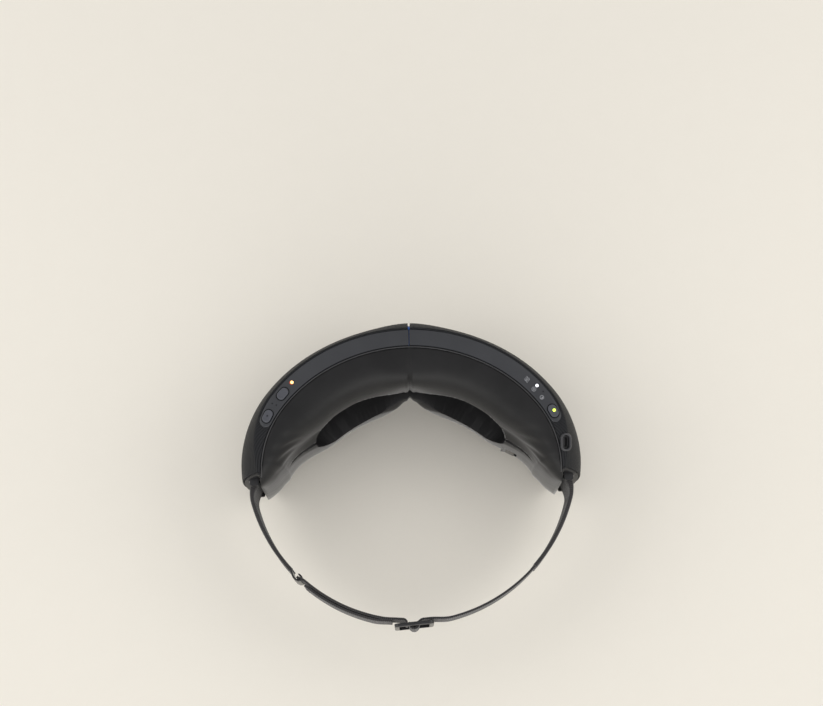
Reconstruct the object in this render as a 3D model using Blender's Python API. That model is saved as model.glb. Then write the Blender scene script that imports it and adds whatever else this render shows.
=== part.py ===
"""Eye massager mask: a folding visor in two hinged halves, a padded face side and a strap.

The mask stands on its lower edge: +Z is up the wearer's face, +Y is the way the wearer looks, and the
origin is the middle of the footprint. All sizes below are in millimetres.
"""

from math import acos, cos, degrees, exp, hypot, pi, radians, sin, sqrt

import bmesh
import bpy
from mathutils import Matrix, Vector

MM = 0.001
GAP = 0.3  # clearance between pieces that touch

# plan of the visor: half of a superellipse
HALF_WIDTH = 110.0
PLAN_DEPTH = 88.0
PLAN_POWER = 1.95
ARC_CENTRE_Y = 9.0
BAND_END = 73.5
END_ANGLE = 96.0  # where each half's wall ends, measured from the front

# height of the mask
TOP_Z = 94.5
BROW_DROP = 4.5
NOSE_RISE = 37.5
NOSE_WIDTH = 22.0
BASE_RISE = 3.5
BASE_WIDTH = 62.0
TOP_SHRINK = 12.0
BOTTOM_SHRINK = 8.0

# layers, counted inwards from the outer surface
SKIN = 1.2
SHELL_OUT = 1.5
SHELL_WALL = 1.8
BAND_THICKNESS = 2.0
FRAME_THICKNESS = 1.8
BACK_PLANE = 19.5
BACK_PLANE_END = 14.5
PAD_PLANE = 20.0
CROWN_LEAN = 7.6
CROWN_LEAN_END = 12.8
CROWN_POWER = 3.0
PAD_BROW = 43.5
PAD_CHEEK = 50.0
PAD_TEMPLE = 28.0

# the fold in the middle
CENTRE_GAP = 1.5
FOLD_HALF_ANGLE = 25.5
HINGE_Y = ARC_CENTRE_Y + PLAN_DEPTH - 20.0
KNUCKLE_RADIUS = 2.5
PIN_RADIUS = 1.2
HINGE_LOW = 50.0
HINGE_HIGH = 86.0
KNUCKLES = 5

# strap
STRAP_CENTRE_Y = 13.6
STRAP_RADIUS = 105.3
STRAP_Z = 43.7
BAR_X = 100.0
BAR_Y = -3.0
BAR_RADIUS = 1.0
SLOT_LENGTH = 40.0
SLOT_WIDTH = 5.6
LUG_Z = 21.6
TAB_HALF_HEIGHT = 18.0
BAND_HALF_HEIGHT = 12.5

# keys on the top bands
KEY_LENGTH = 8.4
KEY_WIDTH = 5.4
KEY_STEM = 3.7
CONTROL_DEPTH = 13.6

for old in list(bpy.data.objects):
    bpy.data.objects.remove(old)


def material(name, colour, roughness, metallic=0.0):
    found = bpy.data.materials.get(name)
    if found:
        return found
    made = bpy.data.materials.new(name)
    made.use_nodes = True
    shader = made.node_tree.nodes["Principled BSDF"]
    shader.inputs["Base Color"].default_value = (*colour, 1.0)
    shader.inputs["Roughness"].default_value = roughness
    shader.inputs["Metallic"].default_value = metallic
    return made


MESH = material("perforated_mesh", (0.012, 0.012, 0.013), 0.6)
SOFT_TOUCH = material("soft_touch_band", (0.043, 0.046, 0.052), 0.45)
SHELL = material("shell_plastic", (0.03, 0.03, 0.033), 0.5)
PAD = material("pad_leather", (0.03, 0.03, 0.031), 0.55)
PANEL = material("eye_panel_fabric", (0.02, 0.02, 0.021), 0.8)
RUBBER = material("blue_gusset_rubber", (0.03, 0.12, 0.4), 0.5)
BLADDER = material("bladder_film", (0.25, 0.26, 0.28), 0.35)
HEATER = material("heater_film", (0.35, 0.16, 0.05), 0.4)
BOARD = material("circuit_board", (0.01, 0.09, 0.04), 0.5)
STEEL = material("steel", (0.55, 0.55, 0.56), 0.3, 1.0)
BRASS = material("brass", (0.7, 0.5, 0.2), 0.35, 1.0)
WEBBING = material("strap_webbing", (0.028, 0.024, 0.025), 0.85)
BLACK = material("black_plastic", (0.015, 0.015, 0.016), 0.4)
LENS = material("light_lens", (0.9, 0.75, 0.4), 0.2)
CELL = material("battery_wrap", (0.05, 0.1, 0.3), 0.4)


def mesh_object(name, verts, faces, skin):
    """One closed solid from points in millimetres; its faces are turned to point out."""
    mesh = bpy.data.meshes.new(name)
    mesh.from_pydata([Vector(v) * MM for v in verts], [], faces)
    body = bmesh.new()
    body.from_mesh(mesh)
    bmesh.ops.recalc_face_normals(body, faces=body.faces)
    body.to_mesh(mesh)
    body.free()
    mesh.materials.append(skin)
    thing = bpy.data.objects.new(name, mesh)
    bpy.context.collection.objects.link(thing)
    return thing


def tube_faces(rings, count):
    """Faces of a tube of equal rings with a cap at each end."""
    faces = [list(range(count)), [(rings - 1) * count + i for i in range(count)]]
    for r in range(rings - 1):
        for i in range(count):
            j = (i + 1) % count
            faces.append([r * count + i, r * count + j, (r + 1) * count + j, (r + 1) * count + i])
    return faces


def lofted(name, sections, skin):
    """A solid through a row of sections that all have the same number of points."""
    verts = [p for section in sections for p in section]
    return mesh_object(name, verts, tube_faces(len(sections), len(sections[0])), skin)


def set_origin(thing, point):
    """Moves an object's origin to a point in millimetres and leaves its mesh where it is."""
    shift = Vector(point) * MM
    thing.data.transform(Matrix.Translation(-shift))
    thing.location = shift


def cut(thing, cutter):
    """Takes a hidden cutter out of a solid."""
    cutter.hide_render = True
    cutter.display_type = "WIRE"
    taken = thing.modifiers.new("cut", "BOOLEAN")
    taken.operation = "DIFFERENCE"
    taken.solver = "EXACT"
    taken.object = cutter


# --- the visor's curve -----------------------------------------------------------------------------

def smooth(value):
    value = min(max(value, 0.0), 1.0)
    return value * value * (3 - 2 * value)


def plan(angle):
    """A point of the visor's outline seen from above, and the outward normal there."""
    s, c = sin(radians(angle)), cos(radians(angle))
    x = HALF_WIDTH * abs(s) ** (2 / PLAN_POWER)
    back = PLAN_DEPTH * abs(c) ** (2 / PLAN_POWER) * (1 if c > 0 else -1)
    nx = (x / HALF_WIDTH) ** (PLAN_POWER - 1) / HALF_WIDTH
    ny = abs(back / PLAN_DEPTH) ** (PLAN_POWER - 1) / PLAN_DEPTH * (1 if c > 0 else -1)
    size = hypot(nx, ny)
    return x, ARC_CENTRE_Y + back, nx / size, ny / size


def spot(side, angle, depth, z):
    """The point at an angle round the visor and a depth under its outer surface.

    Behind the hinge line the sections near the middle lean apart, which leaves the wedge that the two
    halves need to fold."""
    x, y, nx, ny = plan(angle)
    shallow = min(depth, PAD_PLANE)
    deep = max(depth - PAD_PLANE, 0.0)
    lean = (1 - smooth(angle / 24)) * (sin(radians(FOLD_HALF_ANGLE)) / cos(radians(FOLD_HALF_ANGLE)))
    x += -nx * depth + lean * deep
    y += -ny * shallow - ny * deep
    return side * x, y, z


def first_angle():
    """The angle at which a half starts, half a gap beside the middle."""
    return degrees(acos(sqrt(1 - (CENTRE_GAP / 2 / HALF_WIDTH) ** PLAN_POWER)))


def top_at(x):
    return TOP_Z - BROW_DROP * (x / 90) ** 2


def bottom_at(x):
    rise = BASE_RISE * max(1 - (x / BASE_WIDTH) ** 2, 0.0)
    nose = NOSE_RISE * exp(-((x / NOSE_WIDTH) ** 2))
    return rise + nose * smooth((BASE_WIDTH - x) / 20)


def bottom_shrink(angle):
    return BOTTOM_SHRINK * max((angle - 66) / 30, 0.0) ** 2


def heights(angle):
    """The lowest and highest point of the visor at an angle."""
    x = plan(angle)[0]
    low, high = bottom_at(min(x, 92)), top_at(min(x, 92))
    return low + bottom_shrink(angle), high - TOP_SHRINK * max((angle - 60) / 36, 0.0) ** 2


def back_plane(angle):
    return BACK_PLANE - (BACK_PLANE - BACK_PLANE_END) * (angle / END_ANGLE) ** 4


def edge_lean(angle):
    """How far the crown leans in at its upper and lower edge."""
    return CROWN_LEAN + (CROWN_LEAN_END - CROWN_LEAN) * smooth((angle - 60) / 38)


def crown(angle, layer, steps=10):
    """The curved front in section, from its lower to its upper edge, a layer under the surface."""
    low, high = heights(angle)
    lean, power = edge_lean(angle), CROWN_POWER
    middle, half = (low + high) / 2, (high - low) / 2
    points = []
    for i in range(steps + 1):
        s = sin(pi * (i / steps - 0.5))
        depth, z = lean * abs(s) ** power, middle + half * s
        slope = lean * power * abs(s) ** (power - 1) / half * (1 if s > 0 else -1)
        size = hypot(1, slope)
        points.append((depth + layer / size, z - layer * slope / size))
    return points


def around(side, angle, section):
    return [spot(side, angle, depth, z) for depth, z in section]


def stations(steps=20):
    """The angles of the sections, closer together at the nose."""
    start = first_angle()
    return [start + (END_ANGLE - start) * (i / steps) ** 1.2 for i in range(steps + 1)]


def skin_section(angle):
    """The mesh cover: the crown, and at the ends its wrap over the edges."""
    reach = 1.3 + (back_plane(angle) - 10.6) * smooth((angle - BAND_END) / 4)
    low, high = heights(angle)
    outer, inner = crown(angle, 0.0), crown(angle, SKIN)
    inner = [(d, max(min(z, high - SKIN), low + SKIN)) for d, z in inner]
    end = max(min(outer[-1][0] + reach, back_plane(angle) - 0.2), inner[-1][0] + 0.15)
    outer = [(end, low)] + outer + [(end, high)]
    inner = [(end, low + SKIN)] + inner + [(end, high - SKIN)]
    return outer + inner[::-1]


def shell_section(angle):
    """The moulded half shell: crown, and a shelf above and below that carries the bands."""
    low, high = heights(angle)
    sunk = BAND_THICKNESS + GAP
    back = back_plane(angle)
    outer = crown(angle, SHELL_OUT)
    outer = [(min(d, back - 0.6), max(min(z, high - sunk), low + sunk)) for d, z in outer]
    inner = crown(angle, SHELL_OUT + SHELL_WALL)
    floor, roof = low + sunk + SHELL_WALL, high - sunk - SHELL_WALL
    inner = [(min(d, back - 0.3), max(min(z, roof), floor)) for d, z in inner]
    outer = [(back, low + sunk)] + outer + [(back, high - sunk)]
    inner = [(back, floor)] + inner + [(back, roof)]
    return outer + inner[::-1]


def band_section(angle, upper):
    """A soft-touch band, a strip with eased edges between the mesh and the pad."""
    low, high = heights(angle)
    front = crown(angle, 0.0)[-1][0] + 1.7
    back = back_plane(angle)
    ease = 0.6
    shape = [(front, 0.0), (front, -BAND_THICKNESS), (back, -BAND_THICKNESS), (back, -ease)]
    shape += [(back - ease, 0.0)]
    if upper:
        return [(d, high + z) for d, z in shape]
    return [(d, low - z) for d, z in shape]


def pad_reach(angle, z):
    """How deep the face side of the pad may come: most at the cheeks, least at the temples."""
    lobe = PAD_BROW + (PAD_CHEEK - PAD_BROW) * smooth((60 - z) / 30)
    return lobe - (lobe - PAD_TEMPLE) * smooth((angle - 46) / 58)


def pad_surface(angle, z):
    """The depth of the pad's face side, rounded off towards its lower and upper edge."""
    low, high = heights(angle)
    s = min(abs(z - (low + high) / 2) / ((high - low) / 2 - 0.5), 1.0)
    start = back_plane(angle) + 2.0
    return start + (pad_reach(angle, z) - start) * (1 - s ** 5) ** 0.45


def pad_section(angle, steps=14):
    low, high = heights(angle)
    low, high = low - 0.7 * bottom_shrink(angle), high - 0.5
    plane = back_plane(angle) + 0.5
    middle, half = (low + high) / 2, (high - low) / 2
    back = []
    for i in range(steps + 1):
        z = middle + half * sin(pi / 2 * (2 * i / steps - 1))
        back.append((pad_surface(angle, z), z))
    return [(plane, low)] + back + [(plane, high)]


def local(side, angle, depth, z):
    """A frame at a spot: X round the visor, Y outwards, Z up."""
    x, y, nx, ny = plan(angle)
    out = Vector((side * nx, ny, 0))
    up = Vector((0, 0, 1))
    along = out.cross(up)
    place = Matrix((along, out, up)).transposed().to_4x4()
    place.translation = Vector(spot(side, angle, depth, z))
    return place


def outline_solid(name, outline, low, high, place, skin):
    """An outline in local X and Y, raised from one local Z to another."""
    rings = [[place @ Vector((x, y, z)) for x, y in outline] for z in (low, high)]
    return lofted(name, rings, skin)


def rounded(length, width, radius, steps=4):
    """A rectangle with round corners, centred."""
    points = []
    for k in range(4):
        cx = (length / 2 - radius) * (1 if k in (0, 3) else -1)
        cy = (width / 2 - radius) * (1 if k in (0, 1) else -1)
        for i in range(steps + 1):
            a = pi / 2 * (k + i / steps)
            points.append((cx + radius * cos(a), cy + radius * sin(a)))
    return points


def ellipse(a, b, count=20):
    return [(a * cos(2 * pi * i / count), b * sin(2 * pi * i / count)) for i in range(count)]


FACING = Matrix.Rotation(-pi / 2, 4, "X")  # turns local Z to point outwards along local Y


def block(name, length, thickness, height, place, skin):
    return outline_solid(name, rounded(length, thickness, min(length, thickness) * 0.18, 2),
                         -height / 2, height / 2, place, skin)


def rod(name, radius, length, place, skin, count=16):
    return outline_solid(name, ellipse(radius, radius, count), -length / 2, length / 2, place, skin)


# --- the two halves --------------------------------------------------------------------------------

def build_covers(side, word):
    wide = stations()
    lofted(word + "_mesh_cover", [around(side, a, skin_section(a)) for a in wide], MESH)
    lofted(word + "_visor_shell", [around(side, a, shell_section(a)) for a in wide], SHELL)
    for upper, place in ((True, "top"), (False, "bottom")):
        steps = [a for a in wide if a < BAND_END]
        sections = [around(side, a, band_section(a, upper)) for a in steps]
        lofted(f"{word}_{place}_band", sections, SOFT_TOUCH)


def inside(angle, depth):
    """The lowest and highest free height inside the shell at a depth."""
    low, high = heights(angle)
    edge = BAND_THICKNESS + SHELL_WALL + 3 * GAP
    wall = crown(angle, SHELL_OUT + SHELL_WALL + 2 * GAP, 40)
    free = [z for d, z in wall if d < depth - 2 * GAP]
    return max(low + edge, min(free)), min(high - edge, max(free))


def build_back_frame(side, word):
    sections = []
    for a in stations()[1:-1]:
        low, high = inside(a, back_plane(a) - FRAME_THICKNESS)
        back = back_plane(a)
        shape = [(back - FRAME_THICKNESS, low), (back, low), (back, high)]
        shape += [(back - FRAME_THICKNESS, high)]
        sections.append(around(side, a, shape))
    return lofted(word + "_back_frame", sections, SHELL)


EYE_ANGLE, EYE_Z, EYE_LENGTH, EYE_HEIGHT = 28.5, 53.0, 41.0, 30.0


def build_pad(side, word):
    sections = [around(side, a, pad_section(a)) for a in stations() + [END_ANGLE + 2]]
    tip = pad_section(END_ANGLE + 2)
    sections.append(around(side, END_ANGLE + 5, [(tip[0][0] + (d - tip[0][0]) * 0.45, z) for d, z in tip]))
    pad = lofted(word + "_face_pad", sections, PAD)
    eye = local(side, EYE_ANGLE, 0, EYE_Z) @ FACING
    room = Matrix.Translation(Vector((0, HINGE_Y, (HINGE_LOW + HINGE_HIGH) / 2)))
    height = HINGE_HIGH - HINGE_LOW + 8
    cut(pad, rod(word + "_knuckle_cutter", KNUCKLE_RADIUS + 0.8, height, room, PAD, 20))
    hole = ellipse(EYE_LENGTH / 2, EYE_HEIGHT / 2, 28)
    cut(pad, outline_solid(word + "_eye_cutter", hole, -60, -18, eye, PAD))
    inner = ellipse(EYE_LENGTH / 2 - GAP, EYE_HEIGHT / 2 - GAP, 28)
    small = ellipse(EYE_LENGTH / 2 - 1.5, EYE_HEIGHT / 2 - 1.5, 24)
    outline_solid(word + "_eye_panel", inner, -33.0, -31.5, eye, PANEL)
    outline_solid(word + "_heater_sheet", small, -31.2, -30.6, eye, HEATER)
    rings = []
    for depth, share in ((-30.3, 0.86), (-29, 0.97), (-25.5, 1.0), (-22.6, 0.96), (-21.6, 0.86)):
        outline = ellipse((EYE_LENGTH / 2 - 1.5) * share, (EYE_HEIGHT / 2 - 1.5) * share, 24)
        rings.append([eye @ Vector((x, y, depth)) for x, y in outline])
    lofted(word + "_air_bladder", rings, BLADDER)


def build_end(side, word):
    """The end cap with the strap slot, and the steel bar across the slot."""
    rows = []
    low, high = heights(END_ANGLE)
    for z in [low + 2 + (high - low - 4) * i / 12 for i in range(13)]:
        outer = crown_depth(END_ANGLE, z) + 1.5
        rows.append((outer, z))
    cap_start, cap_end = END_ANGLE + 0.25, END_ANGLE + 1.6
    back = BACK_PLANE_END - 0.6
    shape = [(back, rows[0][1])] + rows + [(back, rows[-1][1])]
    sections = [around(side, a, shape) for a in (cap_start, cap_end)]
    cap = lofted(word + "_end_cap", sections, BLACK)
    slot = Matrix.Translation(Vector((side * BAR_X, BAR_Y, STRAP_Z)))
    hole = [(x, z) for x, z in rounded(SLOT_WIDTH, SLOT_LENGTH, SLOT_WIDTH / 2, 5)]
    rings = [[slot @ Vector((x, y, z)) for x, z in hole] for y in (-12, 9)]
    opening = lofted(word + "_slot_cutter", rings, BLACK)
    cut(cap, opening)
    for i, end in enumerate((-1, 1)):
        lug = Matrix.Translation(Vector((side * BAR_X, BAR_Y + 0.6, STRAP_Z + end * LUG_Z)))
        join(cap, block(f"{word}_lug_{i}", SLOT_WIDTH, 5.6, 2 * (LUG_Z - SLOT_LENGTH / 2), lug, BLACK))
    bar = Matrix.Translation(Vector((side * BAR_X, BAR_Y, STRAP_Z)))
    rod(word + "_strap_bar", BAR_RADIUS, SLOT_LENGTH - 2 * GAP, bar, STEEL, 12)


def crown_depth(angle, z):
    """How far the crown leans in at a height."""
    low, high = heights(angle)
    s = (z - (low + high) / 2) / ((high - low) / 2)
    return edge_lean(angle) * min(abs(s), 1.0) ** CROWN_POWER


# --- the hinge in the middle ------------------------------------------------------------------------

def build_hinge():
    """Two leaves whose knuckles take turns on one pin, so the halves fold like a book."""
    pin = Matrix.Translation(Vector((0, HINGE_Y, (HINGE_LOW + HINGE_HIGH) / 2)))
    rod("hinge_pin", PIN_RADIUS, HINGE_HIGH - HINGE_LOW + 2, pin, STEEL, 20)
    pitch = (HINGE_HIGH - HINGE_LOW) / KNUCKLES
    for side, word, first in ((-1, "left", 0), (1, "right", 1)):
        plate = [(side * x, HINGE_Y + y) for x, y in ((2.9, 2.9), (14, 2.9), (14, 4.2), (2.9, 4.2))]
        shapes = [(plate, HINGE_LOW - 0.5, HINGE_HIGH + 0.5)]
        for k in range(first, KNUCKLES, 2):
            low = HINGE_LOW + k * pitch + GAP
            high = low + pitch - 2 * GAP
            bend = ((0, 1.0), (2.2, 1.0), (4, 3.1), (4, 4.0), (2.7, 4.0), (0, 2.3))
            arm = [(side * x, HINGE_Y + y) for x, y in bend]
            knuckle = [(x, HINGE_Y + y) for x, y in ellipse(KNUCKLE_RADIUS, KNUCKLE_RADIUS, 20)]
            shapes += [(arm, low + 0.2, high - 0.2), (knuckle, low, high)]
        parts = []
        for i, (outline, low, high) in enumerate(shapes):
            rings = [[(x, y, z) for x, y in outline] for z in (low, high)]
            parts.append(lofted(f"{word}_hinge_leaf" + (f"_piece_{i}" if i else ""), rings, STEEL))
        for piece in parts[1:]:
            join(parts[0], piece)
        bore = Matrix.Translation(Vector((0, HINGE_Y, (HINGE_LOW + HINGE_HIGH) / 2)))
        cut(parts[0], rod(word + "_bore_cutter", PIN_RADIUS + 0.25, 60, bore, STEEL, 20))
    set_origin(bpy.data.objects["right_hinge_leaf"], (0, HINGE_Y, 0))


def join(thing, piece):
    """Joins a hidden piece to a solid."""
    piece.hide_render = True
    piece.display_type = "WIRE"
    added = thing.modifiers.new("join", "BOOLEAN")
    added.operation = "UNION"
    added.solver = "EXACT"
    added.object = piece


def build_gusset():
    """The elastic strip that closes the gap between the two halves in front of the hinge."""
    thick = CENTRE_GAP - 2 * GAP
    shape = [(5.0, 46.0), (5.0, 86.0), (9.0, 90.5), (13.5, 90.5), (13.5, 46.0)]
    rings = [[(x, ARC_CENTRE_Y + PLAN_DEPTH - d, z) for d, z in shape] for x in (-thick / 2, thick / 2)]
    lofted("hinge_gusset", rings, RUBBER)


# --- keys and lights on the top bands ---------------------------------------------------------------

def on_band(side, angle, depth=CONTROL_DEPTH):
    return local(side, angle, depth, heights(angle)[1])


def build_key(name, side, word, angle):
    """A sprung key in its hole through the band and the shelf under it."""
    place = on_band(side, angle)
    hole = rounded(KEY_LENGTH + 2 * GAP, KEY_WIDTH + 2 * GAP, KEY_WIDTH / 2 + GAP - 0.05, 4)
    for i, node in enumerate((word + "_top_band", word + "_visor_shell")):
        cutter = outline_solid(f"{name}_cutter_{i}", hole, -6, 3, place, BLACK)
        cut(bpy.data.objects[node], cutter)
    outline = rounded(KEY_LENGTH, KEY_WIDTH, KEY_WIDTH / 2 - 0.05, 4)
    rings = []
    for z, inset in ((-KEY_STEM, 0.0), (0.35, 0.0), (0.8, 0.45)):
        rings.append([place @ Vector((x * (1 - inset / 4), y * (1 - inset / 3), z)) for x, y in outline])
    key = lofted(name, rings, SOFT_TOUCH)
    set_origin(key, place.translation)


def build_light(name, side, word, angle, depth):
    place = on_band(side, angle, depth)
    for i, node in enumerate((word + "_top_band", word + "_visor_shell")):
        cut(bpy.data.objects[node], rod(f"{name}_cutter_{i}", 1.1 + GAP, 14, place, LENS, 12))
    outline_solid(name, ellipse(1.1, 1.1, 12), -5.0, 0.15, place, LENS)


def build_controls():
    build_key("power_key", -1, "left", 55.75)
    build_key("mode_key", -1, "left", 68.0)
    build_light("power_light", -1, "left", 49.5, 12.9)
    build_key("select_key", 1, "right", 68.0)
    build_light("status_light", 1, "right", 54.5, 12.2)
    for side, word, angle in ((-1, "left", 61.0), (1, "right", 61.0)):
        place = on_band(side, angle) @ Matrix.Translation(Vector((0, 0, -8.2)))
        block(word + "_key_board", 28, 4.4, 1.2, place, BOARD)


# --- inside the halves ------------------------------------------------------------------------------

def build_inside():
    block("battery_cell", 32, 5.2, 26, local(-1, 24, 10.0, 60), CELL)
    block("second_cell", 32, 5.2, 26, local(1, 24, 10.0, 60), CELL)
    block("main_board", 34, 1.6, 30, local(-1, 48, 14.6, 52), BOARD)
    block("charge_board", 30, 1.6, 26, local(1, 48, 14.6, 52), BOARD)
    pump = local(-1, 64, 10.4, 32)
    rod("pump_motor", 4.4, 20, pump, STEEL)
    rod("pump_crank", 3.8, 2.4, pump @ Matrix.Translation(Vector((0, 0, 11.6))), BRASS)
    set_origin(bpy.data.objects["pump_crank"], pump.translation + Vector((0, 0, 11.6)))
    block("pump_head", 12, 8.0, 11, pump @ Matrix.Translation(Vector((0, 0, 18.8))), BLACK)
    block("valve_block", 12, 6.5, 14, local(1, 64, 10.0, 34), BLACK)
    for side, word in ((-1, "left"), (1, "right")):
        motor = local(side, 80, 9.0, 38)
        rod(word + "_motor_can", 4.0, 12, motor, STEEL)
        weight = motor @ Matrix.Translation(Vector((0, 0, 8.0)))
        half = [(3.4 * cos(pi * i / 10), 3.4 * sin(pi * i / 10)) for i in range(11)]
        half += [(-1.0, -1.0), (1.0, -1.0)]
        name = word + "_motor_weight"
        outline_solid(name, half, -1.6, 1.6, weight, BRASS)
        set_origin(bpy.data.objects[name], weight.translation)
        screw = local(side, 62, back_plane(62) - FRAME_THICKNESS - 1.6, 70)
        rod(word + "_frame_screw", 1.4, 2.4, screw @ FACING, STEEL, 12)


PORT_ANGLE, PORT_DEPTH, PORT_SUNK = 84.0, 12.2, 0.9


def build_port():
    """The charging port looks up and a little back from the right-hand end, beside the pad."""
    centre = Vector(spot(1, PORT_ANGLE, PORT_DEPTH, heights(PORT_ANGLE)[1] - PORT_SUNK))
    out = Vector((0.28, -0.25, 0.93)).normalized()
    side_on = out.cross(Vector((1, 0, 0))).normalized()
    across = side_on.cross(out)
    place = Matrix((across, side_on, out)).transposed().to_4x4()
    place.translation = centre
    rim = outline_solid("port_bezel", rounded(7.4, 11.6, 3.4), -5.2, 0.9, place, BLACK)
    cut(rim, outline_solid("port_cutter", rounded(4.2, 8.4, 2.0), -4.0, 3, place, BLACK))
    for node in ("right_mesh_cover", "right_visor_shell", "right_back_frame", "right_face_pad"):
        room = outline_solid(node + "_port_cutter", rounded(8.0, 12.2, 3.7), -9, 6, place, BLACK)
        cut(bpy.data.objects[node], room)
    socket = outline_solid("usb_socket", rounded(3.6, 7.8, 1.7), -3.6, -1.0, place, STEEL)
    cut(socket, outline_solid("usb_cutter", rounded(2.4, 6.6, 1.1), -2.8, 2, place, STEEL))


SENSOR_ANGLE, SENSOR_Z, SENSOR_WIDTH, SENSOR_HEIGHT = 68.5, 24.5, 9.2, 14.6


def pad_point(side, angle, z):
    return Vector(spot(side, angle, pad_surface(angle, z), z))


def build_sensor():
    """The wearing sensor behind its window, which lies flush in the right-hand cheek pad."""
    centre = pad_point(1, SENSOR_ANGLE, SENSOR_Z)
    along = (pad_point(1, SENSOR_ANGLE + 1, SENSOR_Z) - centre).normalized()
    out = along.cross(pad_point(1, SENSOR_ANGLE, SENSOR_Z + 1) - centre).normalized()
    place = Matrix((along, out.cross(along), out)).transposed().to_4x4()
    place.translation = centre
    hole = rounded(SENSOR_WIDTH + 2 * GAP, SENSOR_HEIGHT + 2 * GAP, 1.9)
    cut(bpy.data.objects["right_face_pad"], outline_solid("sensor_cutter", hole, -3.4, 4, place, PAD))
    outline_solid("sensor_window", rounded(SENSOR_WIDTH, SENSOR_HEIGHT, 1.6), -3.0, -0.4, place, BLACK)


# --- the strap --------------------------------------------------------------------------------------

def strap_point(run, side, lift=0.0):
    """A point of the strap's middle line, run millimetres behind the bar, and its outward normal."""
    start = acos(-(BAR_Y - STRAP_CENTRE_Y) / STRAP_RADIUS)
    turn = start - run / STRAP_RADIUS
    x, y = STRAP_RADIUS * sin(turn), STRAP_CENTRE_Y - STRAP_RADIUS * cos(turn)
    pull = (STRAP_RADIUS * sin(start) - BAR_X) * max(1 - run / 12, 0) ** 2
    nx, ny = sin(turn), -cos(turn)
    return side * (x - pull * nx + lift * nx), y - pull * ny + lift * ny


def ribbon(name, side, runs, half_thickness, half_height, skin, lift=lambda run: 0.0):
    """A strap piece: upright sections along the run, each with its own thickness and height."""
    sections = []
    for run in runs:
        t, h = half_thickness(run), half_height(run)
        inner, outer = (strap_point(run, side, lift(run) + away) for away in (-t, t))
        sections.append([(*inner, STRAP_Z - h), (*outer, STRAP_Z - h),
                         (*outer, STRAP_Z + h), (*inner, STRAP_Z + h)])
    return lofted(name, sections, skin)


STRAP_LENGTH = STRAP_RADIUS * acos(-(BAR_Y - STRAP_CENTRE_Y) / STRAP_RADIUS)
TAB_END, HOOK_END = 62.0, 73.0
SLIDER_HALF, WEB_HALF, EYE_RADIUS = 12.0, 0.8, 3.8


def spaced(start, end, step):
    count = max(1, round((end - start) / step))
    return [start + (end - start) * i / count for i in range(count + 1)]


def build_strap():
    loop = BAR_RADIUS + 1.25
    nose = [-loop * cos(radians(a)) for a in (8, 30, 52, 72)]
    for side, word in ((-1, "left"), (1, "right")):
        def thick(run):
            if run < 0:
                return sqrt(loop * loop - run * run)
            return loop - 0.75 * smooth(run / 8)

        def tall(run):
            return TAB_HALF_HEIGHT - (TAB_HALF_HEIGHT - BAND_HALF_HEIGHT - 1) * smooth(run / TAB_END)

        runs = nose + spaced(0, TAB_END, 5)
        tab = ribbon(word + "_strap_tab", side, runs, thick, tall, WEBBING)
        bar = Matrix.Translation(Vector((side * BAR_X, BAR_Y, STRAP_Z)))
        cut(tab, rod(word + "_tab_cutter", BAR_RADIUS + 0.35, 50, bar, WEBBING, 16))
        set_origin(tab, (side * BAR_X, BAR_Y, STRAP_Z))
    hook = ribbon("clasp_hook", -1, spaced(TAB_END + GAP, HOOK_END, 4), lambda run: 1.7,
                  lambda run: BAND_HALF_HEIGHT + 1, BLACK)
    set_origin(hook, (-BAR_X, BAR_Y, STRAP_Z))
    ribbon("left_band", -1, spaced(HOOK_END + GAP, STRAP_LENGTH - SLIDER_HALF - GAP, 6),
           lambda run: 1.5, lambda run: BAND_HALF_HEIGHT, WEBBING)
    slider = ribbon("slider", -1, spaced(STRAP_LENGTH - SLIDER_HALF, STRAP_LENGTH + SLIDER_HALF, 6),
                    lambda run: 1.2, lambda run: BAND_HALF_HEIGHT + 3.2, BLACK)
    apex = Vector((0, STRAP_CENTRE_Y - STRAP_RADIUS, STRAP_Z))
    for i, shift in enumerate((-5.4, 5.4)):
        place = Matrix.Translation(apex + Vector((shift, 0, 0)))
        window = rounded(8.4, 12, 0.5, 2)
        height = BAND_HALF_HEIGHT + 0.8
        cut(slider, outline_solid(f"slider_cutter_{i}", window, -height, height, place, BLACK))
    set_origin(slider, apex)
    band = ribbon("right_band", 1, spaced(TAB_END + GAP, STRAP_LENGTH - 1, 5),
                  lambda run: WEB_HALF, lambda run: BAND_HALF_HEIGHT, WEBBING,
                  lambda run: -EYE_RADIUS * smooth((run - STRAP_LENGTH + 26) / 12))
    place = Matrix.Translation(apex)
    height = 2 * BAND_HALF_HEIGHT - 0.4
    join(band, rod("right_band_eye", EYE_RADIUS + WEB_HALF, height, place, WEBBING, 20))
    cut(band, rod("right_band_eye_cutter", EYE_RADIUS - WEB_HALF, height + 4, place, WEBBING, 20))
    set_origin(band, (BAR_X, BAR_Y, STRAP_Z))


for side, word in ((-1, "left"), (1, "right")):
    build_covers(side, word)
    build_back_frame(side, word)
    build_pad(side, word)
    build_end(side, word)
build_hinge()
build_gusset()
build_controls()
build_inside()
build_port()
build_sensor()
build_strap()
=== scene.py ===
"""The looks of an eye massager mask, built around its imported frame.

Metres, with +Z up and +Y the way the wearer looks.
"""

from math import acos, cos, exp, hypot, pi, radians, sin, sqrt

import bmesh
import bpy
from mathutils import Matrix, Vector
from mathutils.noise import noise


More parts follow.
